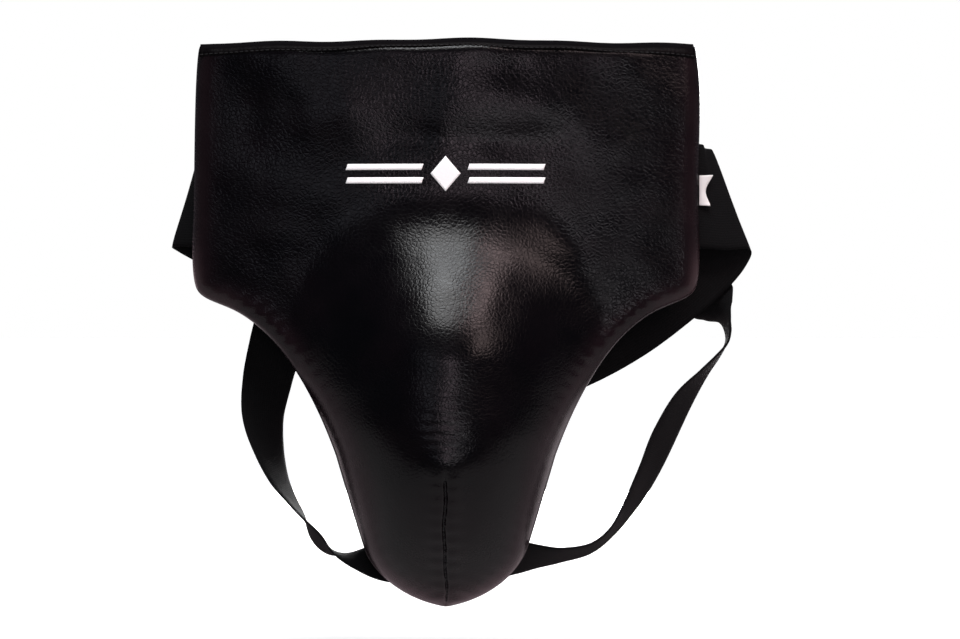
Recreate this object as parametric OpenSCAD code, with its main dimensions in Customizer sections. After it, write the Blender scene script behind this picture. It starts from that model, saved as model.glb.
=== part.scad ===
// Groin protector for boxing and martial arts: a padded synthetic-leather front over a hard
// cup, an elastic waistband and two elastic leg straps.
// Worn upright: +Z is up, -Y is the front, +Y is the wearer's side. The origin is the middle
// of the lining at the height of the waistband. Millimetres.

/* [Panel] */
// Width of the padded panel across the hips
panel_w = 290; // [270:1:300]
// Height of the padded panel, from its top edge to the tip of the nose
panel_h = 321; // [305:1:335]
// Thickness of the whole padded stack, skin to lining
pad_t = 14; // [12.5:0.5:17]
// How far the two sides curve back round the hips
wrap = 16; // [10:1:20]
// How far the tip of the nose curves back under the wearer
tuck = 16; // [10:1:18]

/* [Cup] */
// How far the cup stands out of the padding
cup_rise = 46; // [36:1:54]
// Half the width of the hard cup at its widest
cup_half_w = 60; // [50:1:66]
// Thickness of the hard cup
shell_t = 2.6; // [2:0.1:3]
// Thickness of the soft liner inside the hard cup
liner_t = 2.2; // [1.5:0.1:2.6]
// Radius of the vent holes in the hard cup
vent_r = 2.6; // [2:0.1:3.2]

/* [Fabric] */
// Thickness of the synthetic leather
skin_t = 1.2; // [0.8:0.1:1.5]
// Thickness of the lining
lining_t = 0.8; // [0.5:0.1:1]
// Height of the folded strip along the top edge
binding_h = 7; // [5:0.5:10]

/* [Straps] */
// Width of the waistband elastic
waist_w = 60; // [52:1:62]
// Width of the leg elastic
leg_w = 30; // [25:1:31]
// Thickness of both elastics
elastic_t = 1.6; // [1.2:0.1:1.8]

/* [Hidden] */

// Scales that carry the driving width and height into the drawn outline
kx = panel_w / 290;
kz = panel_h / 321;

// Right half of the panel's outline, [x, z], as cubic curves from the top corner to the tip:
// upper side, hip, hip corner, leg curve, nose side, nose tip
outline_curves = [
    [[142, 84], [145.5, 60], [144, 30], [144.5, -10]],
    [[144.5, -10], [145.5, -30], [146, -46], [143, -54]],
    [[143, -54], [140, -61], [130, -62], [119.5, -67.5]],
    [[119.5, -67.5], [91.5, -82.5], [73.5, -119], [62.5, -149]],
    [[62.5, -149], [58.5, -162.5], [52, -185], [46.5, -202.5]],
    [[46.5, -202.5], [41.5, -217.5], [23.5, -233], [0, -236.5]]
];
curve_steps = [7, 4, 3, 8, 4, 6];   // rows of the grid along each curve
tip_cut = 0.95;                     // the last row stops short of the pointed end
cup_first_row = 8;                  // rows between which the hard cup lies
cup_last_row = 23;
crown = 2;                          // the top edge is higher in the middle

edge_r = 9;                         // radius of the rolled edge
edge_share = 0.42;                  // share of the thickness left at the very edge
top_taper = 15;                     // height over which the padding thins to the top edge
cup_steps = 5;                      // half the columns over the hard cup
side_steps = 3;                     // columns from the cup to the rolled edge
half_cols = cup_steps + side_steps + 3;
cols = 2 * half_cols;

leather = "#1b191d";
elastic = "#101012";
foam = "#c9c3b4";

function bezier(p, t) =
    pow(1 - t, 3) * p[0] + 3 * t * pow(1 - t, 2) * p[1]
    + 3 * t * t * (1 - t) * p[2] + t * t * t * p[3];
function smooth(t) = let (c = min(1, max(0, t))) c * c * (3 - 2 * c);
function mix(a, b, t) = a + (b - a) * t;
// the smaller of two lengths, with a gentle change-over r wide
function soft_min(a, b, r) =
    let (h = max(0, 1 - abs(a - b) / r)) min(a, b) - h * h * r / 4;
function unit(v) = v / norm(v);

// Rows of the grid: [half width, height]
last_curve = len(outline_curves) - 1;
rows = [
    for (c = [0:last_curve], k = [0:curve_steps[c] - 1])
        let (p = bezier(outline_curves[c], k / curve_steps[c])) [p[0] * kx, p[1] * kz],
    let (p = bezier(outline_curves[last_curve], tip_cut)) [p[0] * kx, p[1] * kz]
];
last_row = len(rows) - 1;

// Outline of the hard cup: half its width at a height
cup_top_z = -2 * kz;
cup_wide_z = -58 * kz;
cup_low_z = -166 * kz;
cup_low_half_w = 24;
function cup_half(z, w) =
    let (
        up = (z - cup_wide_z) / (cup_top_z + 4 - cup_wide_z),
        down = (cup_wide_z - z) / (cup_wide_z - cup_low_z),
        r = z > cup_top_z ? 24 + (z - cup_top_z) * 0.5
            : z > cup_wide_z ? max(24, cup_half_w * sqrt(max(0, 1 - up * up)))
            : mix(cup_half_w, cup_low_half_w, smooth(down))
    )
    min(r, 0.62 * w);

// Padding: the plane that the layers are stacked on, and the cup's dome in front of it
function back_plane(x, z) =
    wrap * pow(x / 143.5, 2) + tuck * pow(max(0, -145 * kz - z) / 90, 2);
function dome(x, z, w) =
    let (
        rise = 0.86 * smooth((4 * kz - z) / 100) + 0.14 * smooth((-60 * kz - z) / 95),
        fall = 1 - pow(min(1, max(0, -142 * kz - z) / 96), 2),
        reach = soft_min(mix(64, 90, smooth((10 - z) / 80)), w * 0.985, 14),
        power = mix(2, 0.8, smooth((-50 * kz - z) / 90)),
        t = min(1, abs(x) / reach)
    )
    cup_rise * rise * fall * pow(1 - t * t, power);
function hollow(x, z, w) =
    let (
        rise = 0.86 * smooth((-8 * kz - z) / 88) + 0.14 * smooth((-70 * kz - z) / 90),
        fall = 1 - pow(min(1, max(0, -88 * kz - z) / (-88 * kz - cup_low_z)), 4),
        t = min(1, abs(x) / cup_half(z, w))
    )
    cup_rise * rise * fall * pow(1 - t * t, 1.2);
function rolled(e, r) = sqrt(1 - pow(1 - min(1, max(0, e) / r), 2));
function thickness(x, z, w) =
    pad_t * mix(edge_share, 1, rolled(w - abs(x), edge_r))
    * mix(0.4, 1, rolled(rows[0][1] - z, top_taper));

function front_y(x, z, w) = back_plane(x, z) - thickness(x, z, w) - dome(x, z, w);
function back_y(x, z, w) = back_plane(x, z) - hollow(x, z, w);

// Columns of the grid: evenly over the hard cup, evenly to the rolled edge, then round it
function half_x(i, k) =
    let (
        w = rows[i][0],
        cup = cup_half(rows[i][1], w),
        roll = min(edge_r, 0.3 * w),
        rest = k - cup_steps - side_steps
    )
    k <= cup_steps ? cup * k / cup_steps
    : rest <= 0 ? mix(cup, w - roll, (k - cup_steps) / side_steps)
    : w - roll * [1, 0.5, 0.15, 0][rest];
function grid_x(i, j) =
    let (k = j - half_cols) sign(k) * half_x(i, abs(k));
function grid_z(i, x) =
    rows[i][1] + crown * (1 - pow(x / rows[i][0], 2)) * max(0, rows[i][1] - 20) / 65;

// A point of the skin's outer face, and of a layer a given depth behind it or behind the
// lining's face
function skin_point(i, j) =
    let (x = grid_x(i, j)) [x, front_y(x, rows[i][1], rows[i][0]), grid_z(i, x)];
function inset_x(i, j) = grid_x(i, j) * (rows[i][0] - skin_t) / rows[i][0];
function under_skin(i, j) =
    let (p = skin_point(i, j)) [inset_x(i, j), p[1] + skin_t, p[2]];
function from_back(i, j, depth) =
    let (x = inset_x(i, j), p = skin_point(i, j))
    [x, back_y(x, rows[i][1], rows[i][0]) - depth, p[2]];
function back_edge(i, side, inset) =
    let (x = side * (rows[i][0] - inset), j = side < 0 ? 0 : cols)
    [x, back_plane(x, rows[i][1]), skin_point(i, j)[2]];

// A closed solid between two equal grids of points, front[r][c] and back[r][c]
module slab(front, back) {
    nr = len(front);
    nc = len(front[0]);
    points = concat([for (row = front, p = row) p], [for (row = back, p = row) p]);
    faces = concat(
        [for (r = [0:nr - 2], c = [0:nc - 2]) each
            let (a = r * nc + c, b = a + nr * nc) [
                [a, a + nc + 1, a + 1], [a, a + nc, a + nc + 1],
                [b, b + 1, b + nc + 1], [b, b + nc + 1, b + nc]
            ]],
        [for (r = [0:nr - 2]) each
            let (a = r * nc, b = a + nr * nc, c = a + nc - 1, d = b + nc - 1) [
                [a, b, b + nc], [a, b + nc, a + nc],
                [c, d + nc, d], [c, c + nc, d + nc]
            ]],
        [for (c = [0:nc - 2]) each
            let (a = c, b = a + nr * nc, e = (nr - 1) * nc + c, f = e + nr * nc) [
                [a, a + 1, b + 1], [a, b + 1, b],
                [e, f + 1, e + 1], [e, f, f + 1]
            ]]
    );
    polyhedron(points, faces, convexity = 6);
}

module front_cover() {
    color(leather) slab(
        [for (i = [0:last_row]) concat(
            [back_edge(i, -1, 0)], [for (j = [0:cols]) skin_point(i, j)],
            [back_edge(i, 1, 0)])],
        [for (i = [0:last_row]) concat(
            [back_edge(i, -1, skin_t)], [for (j = [0:cols]) under_skin(i, j)],
            [back_edge(i, 1, skin_t)])]
    );
}

// A plain stretch of padding between two rows
module foam_between(first, last) {
    color(foam) slab(
        [for (i = [first:last]) [for (j = [0:cols]) under_skin(i, j)]],
        [for (i = [first:last]) [for (j = [0:cols]) from_back(i, j, lining_t)]]
    );
}

module belly_foam() { foam_between(0, cup_first_row - 1); }
module nose_foam() { foam_between(cup_last_row + 1, last_row); }

// Padding over the hard cup, with a pocket in its back that the shell and its liner fill.
// The rows and columns round the pocket are doubled, so that its walls stand square.
pocket_depth = lining_t + liner_t + shell_t;
cup_lo = half_cols - cup_steps;
cup_hi = half_cols + cup_steps;
module cup_foam() {
    doubled_rows = [
        [cup_first_row - 1, 0], [cup_first_row, 0],
        for (i = [cup_first_row:cup_last_row]) [i, 1],
        [cup_last_row, 0], [cup_last_row + 1, 0]
    ];
    doubled_cols = [
        for (j = [0:cup_lo]) [j, 0],
        for (j = [cup_lo:cup_hi]) [j, 1],
        for (j = [cup_hi:cols]) [j, 0]
    ];
    color(foam) slab(
        [for (r = doubled_rows) [for (c = doubled_cols) under_skin(r[0], c[0])]],
        [for (r = doubled_rows) [for (c = doubled_cols)
            from_back(r[0], c[0], r[1] * c[1] > 0 ? pocket_depth : lining_t)]]
    );
}

// A layer over the hard cup's own outline, between two depths behind the lining's face
module cup_layer(front_depth, back_depth) {
    slab(
        [for (i = [cup_first_row:cup_last_row])
            [for (j = [cup_lo:cup_hi]) from_back(i, j, front_depth)]],
        [for (i = [cup_first_row:cup_last_row])
            [for (j = [cup_lo:cup_hi]) from_back(i, j, back_depth)]]
    );
}

module cup_shell() {
    vent_rows = [[-62, 3], [-84, 2], [-106, 1]];   // height, and vents either side of the middle
    vent_pitch = 13;
    color("#e9e6dc") difference() {
        cup_layer(pocket_depth, lining_t + liner_t);
        for (v = vent_rows, k = [-v[1]:v[1]])
            translate([k * vent_pitch, 0, v[0] * kz]) rotate([90, 0, 0])
                cylinder(h = 2 * cup_rise, r = vent_r, $fn = 24);
    }
}

module cup_liner() { color("#3a3a3e") cup_layer(lining_t + liner_t, lining_t); }

module back_lining() {
    color("#17171a") slab(
        [for (i = [0:last_row]) [for (j = [0:cols]) from_back(i, j, lining_t)]],
        [for (i = [0:last_row]) [for (j = [0:cols]) from_back(i, j, 0)]]
    );
}

// Folded strip over the top edge
binding_t = 0.9;
binding_gap = 0.15;
binding_fit = 0.25;
function binding_row(j, out) =
    let (
        top = skin_point(0, j), low = skin_point(1, j),
        share = binding_h / (top[2] - low[2]),
        front = mix(top, low, share) - [0, binding_fit, 0],
        back_top = back_plane(top[0], rows[0][1]) + binding_gap,
        lift = out * binding_t
    ) [
        [front[0], front[1] - lift, front[2]],
        [top[0], top[1] - binding_fit - lift, top[2] + binding_fit + lift],
        [top[0], back_top + lift, top[2] + binding_fit + lift],
        [top[0], back_top + lift, front[2]]
    ];
module top_binding() {
    color("#242226") slab(
        [for (j = [0:cols]) binding_row(j, 0)],
        [for (j = [0:cols]) binding_row(j, 1)]
    );
}

// Plain printed mark on the belly: two pairs of bars with a lozenge between them
print_t = 0.3;
module print_patch(corners, nx, ny) {
    grid = [for (r = [0:ny]) [for (c = [0:nx]) let (
        low = mix(corners[0], corners[1], c / nx), high = mix(corners[3], corners[2], c / nx)
    ) mix(low, high, r / ny)]];
    slab(
        [for (row = grid) [for (q = row) print_point(q[0], q[1], print_t)]],
        [for (row = grid) [for (q = row) print_point(q[0], q[1], 0)]]
    );
}
module print_mark() {
    bar_h = 3.4;
    color("white") {
        for (x = [-56, 13], z = [5, 12.6])
            print_patch([[x, z], [x + 43, z], [x + 43, z + bar_h], [x, z + bar_h]], 8, 1);
        print_patch([[0, 0.5], [8.5, 10.5], [0, 20.5], [-8.5, 10.5]], 4, 4);
    }
}
print_clearance = 0.9;
function print_point(x, z, out) =
    [x, front_y(x, z, rows[0][0]) - print_clearance - out, z];

// Thread: a short straight stitch between two points
thread_r = 0.4;
thread_lift = thread_r + 0.05;          // thread lies on the cloth, not in it
module stitch(a, b) {
    v = b - a;
    translate(a) rotate([0, acos(v[2] / norm(v)), atan2(v[1], v[0])])
        cylinder(h = norm(v), r = thread_r, $fn = 16);
}
module stitch_line(a, b, pitch = 4) {
    n = round(norm(b - a) / pitch);
    for (k = [0:n - 1])
        stitch(mix(a, b, (k + 0.15) / n), mix(a, b, (k + 0.85) / n));
}

// Thread of the dart that draws the cover in over the nose
module dart_stitching() {
    profile = [for (i = [last_row:-1:0]) [skin_point(i, half_cols)[2], skin_point(i, half_cols)[1]]];
    dart_top = -160 * kz;
    dart_low = -231 * kz;
    n = 18;
    color("#0c0c0e") for (k = [0:n - 1])
        let (za = mix(dart_top, dart_low, (k + 0.15) / n), zb = mix(dart_top, dart_low, (k + 0.85) / n))
            stitch([0, lookup(za, profile) - 0.8, za], [0, lookup(zb, profile) - 0.8, zb]);
}

// Thread that holds the folded strip, on its front face
module top_stitching() {
    color("#0c0c0e") for (j = [1:cols - 2])
        let (
            a = binding_row(j, 1), b = binding_row(j + 1, 1),
            lift = [0, -thread_lift - 0.25, 0],
            pa = mix(a[0], a[1], 0.25) + lift, pb = mix(b[0], b[1], 0.25) + lift
        ) stitch_line(pa, pb);
}

// Elastic: a ribbon along stations [centre, half-width vector]
function spline(list, u) =
    let (
        last = len(list) - 1,
        k = min(last - 1, floor(u)), t = u - k,
        a = list[max(0, k - 1)], b = list[k], c = list[k + 1], d = list[min(last, k + 2)]
    )
    0.5 * (2 * b + (c - a) * t + (2 * a - 5 * b + 4 * c - d) * t * t
        + (3 * b - a - 3 * c + d) * t * t * t);
module ribbon(stations) {
    n = len(stations) - 1;
    normals = [for (k = [0:n]) let (
        along = stations[min(n, k + 1)][0] - stations[max(0, k - 1)][0]
    ) unit(cross(along, stations[k][1])) * elastic_t / 2];
    slab(
        [for (k = [0:n]) let (s = stations[k]) [s[0] - s[1] + normals[k], s[0] + s[1] + normals[k]]],
        [for (k = [0:n]) let (s = stations[k]) [s[0] - s[1] - normals[k], s[0] + s[1] - normals[k]]]
    );
}

// Waistband from the right side seam, round its fold, across the back and to the left seam:
// centre [x, y, z], then the half-width vector's [x, z] on a band 60 wide
band_y = 31.5;
waist_points = [
    [131, 14.6, -1, 0, 30], [146.5, 18, -1, 0, 30], [155, 20.5, -2.5, -6, 29.4],
    [164.5, 26, -4, -11.5, 27.7], [153.5, 31, -19, -20, 22.4], [139.5, band_y, -35.5, -23, 19.3],
    [125.5, band_y, -47.5, -20.5, 22], [101, band_y, -66, -16, 25.5],
    [69, band_y, -84, -14.5, 26], [34, band_y, -97, -7.5, 29],
    [0, band_y, -101, 0, 30],
    [-30, band_y, -80, 13, 27], [-60, band_y, -57.5, 16, 25.5], [-95.5, band_y, -34.5, 16, 25.5],
    [-126, band_y, -15, 16, 25.5], [-143, 30.5, -5.5, 12, 27.5], [-149.5, 26, -1, 8.5, 29],
    [-142, 18.6, 0, 3, 30], [-131, 14.6, 0, 0, 30]
];
function waist_station(u) =
    let (s = spline(waist_points, u), k = waist_w / 60)
    [[s[0] * kx, s[1], s[2]], [s[3] * k, 0, s[4] * k]];
module waist_ribbon(u0, u1, steps) {
    color(elastic) ribbon([for (k = [0:steps]) waist_station(mix(u0, u1, k / steps))]);
}
right_cut = 6.55;                   // stations where the hanging span of the band starts and ends
left_cut = 11.7;
cut_gap = 0.03;
module waistband_right_side() { waist_ribbon(0, right_cut - cut_gap, 26); }
module waistband_back() { waist_ribbon(right_cut + cut_gap, left_cut - cut_gap, 24); }
module waistband_left_side() { waist_ribbon(left_cut + cut_gap, 18, 26); }

// Thread across the band, on the wearer's face: down both side seams and at the centre back
module band_stitching(u_list, lift) {
    color("#0c0c0e") for (u = u_list)
        let (s = waist_station(u), out = [0, elastic_t / 2 + thread_lift + lift, 0])
            stitch_line(s[0] - 0.9 * s[1] + out, s[0] + 0.9 * s[1] + out);
}
module side_seam_stitching() { band_stitching([0.15, 0.45, 17.62, 17.85], 0.25); }
module center_back_stitching() { band_stitching([9.93, 10.07], 0); }

// Leg straps: [x, z, twist in degrees] from the waistband to the back of the nose
right_leg = [
    [147, -36, 0], [150.3, -52, -5], [153.2, -60, 11], [158, -67, 54], [162, -72.5, 80], [163.8, -79, 88],
    [163, -86, 93], [158, -93.5, 98], [149.5, -103.5, 104], [137.5, -119.5, 117],
    [127, -139, 121], [118, -159, 118], [108, -178, 111], [97, -194, 103], [84, -204.5, 105],
    [67, -208.6, 110], [52, -209.5, 122], [38, -209.5, 138], [15.5, -208, 168]
];
left_leg = [
    [-92, -46, 0], [-96, -71, -6], [-99.7, -88, 8], [-104, -107, 24], [-106.5, -127, 41],
    [-103, -148, 60], [-97, -165, 74], [-90, -177, 84], [-83.5, -186.5, 92],
    [-76.5, -197.5, 106], [-69, -205, 104], [-60.5, -208, 90], [-50, -209, 70], [-38.5, -209, 44],
    [-15.5, -208, -14]
];
// Upright sheet that a strap hangs in: its two ends [x, y], bowed back between them
leg_bow = 6;
right_plane = [[15.5, 10.5], [153, 37]];
left_plane = [[-15.5, 10.5], [-96, 34.8]];
function leg_point(list, plane, u) =
    let (p = spline(list, u), share = (p[0] - plane[0][0]) / (plane[1][0] - plane[0][0]))
    [p[0] * kx, mix(plane[0][1], plane[1][1], share) + leg_bow * 4 * share * (1 - share), p[1] * kz];
function leg_station(list, plane, side, u) =
    let (
        c = leg_point(list, plane, u),
        e = 0.02,
        along = unit(leg_point(list, plane, u + e) - leg_point(list, plane, u - e)),
        outward = side * unit([-along[2], 0, along[0]]),
        twist = spline(list, u)[2]
    )
    [c, leg_w / 2 * (cos(twist) * outward + sin(twist) * unit(cross(along, outward)) * side)];
module leg_ribbon(list, plane, side) {
    u0 = leg_start;
    u1 = len(list) - 1;
    color(elastic) ribbon([for (k = [0:leg_steps])
        leg_station(list, plane, side, mix(u0, u1, k / leg_steps))]);
}
leg_start = 1.14;
leg_steps = 48;
module leg_strap_right() { leg_ribbon(right_leg, right_plane, 1); }
module leg_strap_left() { leg_ribbon(left_leg, left_plane, -1); }

// Ends of the leg straps, sewn flat on the outer face of the waistband
sewn_y = band_y + elastic_t + 0.2;
module sewn_top(list, side) {
    top = list[0];
    low = list[1];
    ends = [[top[0] * kx, sewn_y, top[1] * kz], [low[0] * kx, sewn_y, low[1] * kz]];
    across = side * unit([ends[0][2] - ends[1][2], 0, ends[1][0] - ends[0][0]]) * leg_w / 2;
    color(elastic) ribbon([[ends[0], across], [ends[1], across]]);
}
module leg_strap_right_top() { sewn_top(right_leg, 1); }
module leg_strap_left_top() { sewn_top(left_leg, -1); }
module leg_strap_stitching() {
    out = sewn_y + elastic_t / 2 + thread_lift;
    color("#0c0c0e") for (list = [right_leg, left_leg])
        let (cx = (list[0][0] + list[1][0]) / 2 * kx, z0 = list[0][1] * kz - 3)
            for (k = [0:3])
                stitch_line([cx - leg_w * 0.38, out, z0 - 4 * k], [cx + leg_w * 0.38, out, z0 - 4 * k], 3.8);
}

// Elastic that both leg straps share behind the nose, and the patch sewn over it
tab_z = -208 * kz;
tab_half = 11;
tab_lift = 1;
function nose_back(x, z, lift) = [x, back_plane(x, z) + lift, z];
module crotch_tab() {
    n = 6;
    color(elastic) slab(
        [for (r = [0:n]) [for (x = [-tab_half, 0, tab_half])
            nose_back(x, tab_z + mix(-0.5, 0.5, r / n) * leg_w, tab_lift)]],
        [for (r = [0:n]) [for (x = [-tab_half, 0, tab_half])
            nose_back(x, tab_z + mix(-0.5, 0.5, r / n) * leg_w, tab_lift + elastic_t)]]
    );
}
patch_lift = tab_lift + elastic_t + 0.4;
patch_t = 1.2;
function patch_row(z, out) =
    let (edge = abs(z - tab_z) - leg_w / 2, lift = mix(patch_lift, 0.6, smooth(edge / 3)))
    [for (x = [-10, -3, 3, 10]) nose_back(x, z, lift + out)];
patch_reach = leg_w / 2 + 6;
module anchor_patch() {
    n = 14;
    color("#242226") slab(
        [for (r = [0:n]) patch_row(tab_z + mix(-patch_reach, patch_reach, r / n), 0)],
        [for (r = [0:n]) patch_row(tab_z + mix(-patch_reach, patch_reach, r / n), patch_t)]
    );
}
module anchor_stitching() {
    color("#0c0c0e") for (z = [tab_z - leg_w / 2 + 2, tab_z - 4, tab_z + 4, tab_z + leg_w / 2 - 2])
        let (y = back_plane(10, z) + patch_lift + patch_t + thread_lift)
            stitch_line([-8.5, y, z], [8.5, y, z]);
}

// Folded care label, caught in the right side seam, lying on the front of the waistband
module care_label() {
    label_h = 17.4;
    label_reach = 8;
    label_t = 0.6;
    label_x = 146 * kx;
    mid_z = 2.2;
    function label_end(z) = label_reach * (0.9 + 0.2 * z - 0.42 * cos(180 * z));
    color("white") slab(
        [for (z = [-0.5, -0.2, 0.2, 0.5]) [for (s = [0, 0.5, 1])
            let (x = label_x + s * label_end(z)) [x, label_y(x) - label_t, mid_z + z * label_h]]],
        [for (z = [-0.5, -0.2, 0.2, 0.5]) [for (s = [0, 0.5, 1])
            let (x = label_x + s * label_end(z)) [x, label_y(x), mid_z + z * label_h]]]
    );
}
function label_y(x) =
    lookup(x, [for (u = [0:0.1:3]) [waist_station(u)[0][0], waist_station(u)[0][1]]])
    - elastic_t / 2 - 0.6;

front_cover();
dart_stitching();
top_binding();
top_stitching();
print_mark();
belly_foam();
cup_foam();
nose_foam();
cup_shell();
cup_liner();
back_lining();
waistband_left_side();
waistband_right_side();
side_seam_stitching();
waistband_back();
center_back_stitching();
leg_strap_left();
leg_strap_right();
leg_strap_left_top();
leg_strap_right_top();
leg_strap_stitching();
crotch_tab();
anchor_patch();
anchor_stitching();
care_label();
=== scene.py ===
import math

import bpy
import numpy as np
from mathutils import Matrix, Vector, noise


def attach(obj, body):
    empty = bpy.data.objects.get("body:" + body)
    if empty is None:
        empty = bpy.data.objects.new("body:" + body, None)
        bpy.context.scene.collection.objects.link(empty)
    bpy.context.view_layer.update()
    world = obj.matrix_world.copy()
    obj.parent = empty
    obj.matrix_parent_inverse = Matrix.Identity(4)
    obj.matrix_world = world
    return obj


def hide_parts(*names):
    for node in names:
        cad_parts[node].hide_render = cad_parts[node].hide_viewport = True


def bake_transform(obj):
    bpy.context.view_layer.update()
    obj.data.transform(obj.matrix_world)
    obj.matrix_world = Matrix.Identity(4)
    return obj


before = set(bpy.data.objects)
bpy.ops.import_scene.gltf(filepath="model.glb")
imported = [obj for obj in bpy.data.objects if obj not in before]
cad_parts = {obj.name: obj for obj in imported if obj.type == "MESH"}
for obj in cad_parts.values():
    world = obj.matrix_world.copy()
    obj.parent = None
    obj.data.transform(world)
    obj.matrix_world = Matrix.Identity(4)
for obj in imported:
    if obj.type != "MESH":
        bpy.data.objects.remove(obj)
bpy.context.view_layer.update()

# Shapes are in millimetres, in the CAD model's frame (+Z up, -Y the front), and become metres
# in add_mesh. The camera, the lights, the floor and the textures are in metres.
MM = 0.001


# ---------------------------------------- camera
SENSOR = 36.0
DISTANCE = 1.7
VIEW_WIDTH = 0.547          # what the camera sees from side to side at the panel
CAMERA_X = 0.0195
CAMERA_Z = -0.072

cam_data = bpy.data.cameras.new("camera")
camera = bpy.data.objects.new("camera", cam_data)
bpy.context.scene.collection.objects.link(camera)
cam_data.sensor_width = SENSOR
cam_data.lens = SENSOR * DISTANCE / VIEW_WIDTH
camera.location = (CAMERA_X, -DISTANCE, CAMERA_Z)
camera.rotation_euler = (math.radians(90), 0, 0)
bpy.context.scene.camera = camera
bpy.context.scene.view_settings.view_transform = "Standard"


# ---------------------------------------- world and floor
def node_tree(owner):
    owner.use_nodes = True
    nt = owner.node_tree
    nt.nodes.clear()
    return nt


def pick_by_ray(nt, to_object, to_camera, out):
    """Shows one shader to the camera and sends the other to the object."""
    pick = nt.nodes.new("ShaderNodeMixShader")
    path = nt.nodes.new("ShaderNodeLightPath")
    nt.links.new(path.outputs["Is Camera Ray"], pick.inputs[0])
    nt.links.new(to_object.outputs[0], pick.inputs[1])
    nt.links.new(to_camera.outputs[0], pick.inputs[2])
    nt.links.new(pick.outputs[0], out.inputs[0])


def matt_shader(nt, tone, glow, glow_colour):
    bsdf = nt.nodes.new("ShaderNodeBsdfPrincipled")
    bsdf.inputs["Base Color"].default_value = (tone, tone, tone, 1)
    bsdf.inputs["Roughness"].default_value = 0.9
    bsdf.inputs["Specular IOR Level"].default_value = 0.0
    bsdf.inputs["Emission Color"].default_value = glow_colour
    bsdf.inputs["Emission Strength"].default_value = glow
    return bsdf


def floor_material(name, tone, glow):
    """White to the camera, with soft shadows. The tone and the glow are for the object only."""
    mat = bpy.data.materials.new(name)
    nt = node_tree(mat)
    out = nt.nodes.new("ShaderNodeOutputMaterial")
    to_object = matt_shader(nt, tone, glow, (1.0, 0.72, 0.80, 1))
    to_camera = matt_shader(nt, 0.9, 0.45, (1, 1, 1, 1))
    pick_by_ray(nt, to_object, to_camera, out)
    return mat


FLOOR_Z = -0.27
FLOOR_REACH = 30.0


def add_floor(name, y0, y1, material):
    corners = [(-FLOOR_REACH, y0), (FLOOR_REACH, y0), (FLOOR_REACH, y1), (-FLOOR_REACH, y1)]
    mesh = bpy.data.meshes.new(name)
    mesh.from_pydata([(x, y, FLOOR_Z) for x, y in corners], [], [(0, 1, 2, 3)])
    mesh.materials.append(material)
    obj = bpy.data.objects.new(name, mesh)
    bpy.context.scene.collection.objects.link(obj)


NEAR_Y = -0.3               # where the floor's three strips meet
REAR_Y = 0.02
add_floor("floor_front", -FLOOR_REACH, NEAR_Y, floor_material("pale_floor_front", 0.10, 0.0))
add_floor("floor_near", NEAR_Y, REAR_Y, floor_material("pale_floor_near", 0.6, 0.0))
add_floor("floor_rear", REAR_Y, FLOOR_REACH, floor_material("pale_floor_rear", 0.22, 0.30))


def background(nt, colour, strength):
    node = nt.nodes.new("ShaderNodeBackground")
    node.inputs["Color"].default_value = (*colour, 1)
    node.inputs["Strength"].default_value = strength
    return node


def light_world():
    world = bpy.data.worlds.new("studio")
    bpy.context.scene.world = world
    nt = node_tree(world)
    out = nt.nodes.new("ShaderNodeOutputWorld")
    to_object = background(nt, (0.8, 0.84, 1.0), 0.09)
    to_camera = background(nt, (1, 1, 1), 1.0)
    pick_by_ray(nt, to_object, to_camera, out)


light_world()


# ---------------------------------------- lights
def add_sun(name, elevation, azimuth, strength, angle):
    data = bpy.data.lights.new(name, "SUN")
    data.energy = strength
    data.angle = math.radians(angle)
    obj = bpy.data.objects.new(name, data)
    el = math.radians(elevation)
    az = math.radians(azimuth)
    to_light = Vector((math.cos(el) * math.sin(az), -math.cos(el) * math.cos(az), math.sin(el)))
    obj.rotation_euler = to_light.to_track_quat("Z", "Y").to_euler()
    bpy.context.scene.collection.objects.link(obj)


def add_area(name, place, aim, size, power, colour=(1, 1, 1)):
    data = bpy.data.lights.new(name, "AREA")
    data.shape = "RECTANGLE"
    data.size, data.size_y = size
    data.energy = power
    data.color = colour
    obj = bpy.data.objects.new(name, data)
    obj.location = place
    obj.visible_camera = False
    obj.rotation_euler = (Vector(place) - Vector(aim)).to_track_quat("Z", "Y").to_euler()
    bpy.context.scene.collection.objects.link(obj)


add_sun("top", 62, -6, 2.0, 28)
add_area("key_left", (0.08, -0.47, 1.1), (0.0, -0.03, -0.05), (0.75, 0.12), 3.4, (0.84, 0.92, 1.0))
add_area("key_middle", (0.52, -0.62, 0.85), (0.02, -0.03, -0.05), (0.4, 0.3), 4.4, (1.0, 0.76, 0.76))
add_area("key_right", (0.72, -0.84, 0.50), (0.02, -0.03, -0.05), (0.35, 0.4), 2.4, (1.0, 0.76, 0.74))
add_area("front", (0.12, -1.9, 0.26), (0, 0, -0.1), (0.3, 0.3), 2.0, (1.0, 0.80, 0.90))
add_area("front_left", (-0.55, -1.7, 0.3), (-0.1, 0, 0), (0.4, 0.3), 0.7, (0.86, 0.88, 1.0))
add_area("front_low", (0.42, -1.8, -0.12), (0, 0, -0.13), (0.9, 0.15), 2.2, (1.0, 0.94, 1.0))
add_area("back", (0.35, 1.7, 0.05), (0, 0, -0.08), (0.9, 0.6), 34.0)
add_area("left_side", (-0.7, 1.0, -0.18), (0, 0, -0.15), (0.6, 0.3), 0.5, (1.0, 0.70, 0.76))
add_area("right_side", (0.7, 1.0, -0.18), (0, 0, -0.15), (0.6, 0.3), 0.5, (1.0, 0.70, 0.82))

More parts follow.
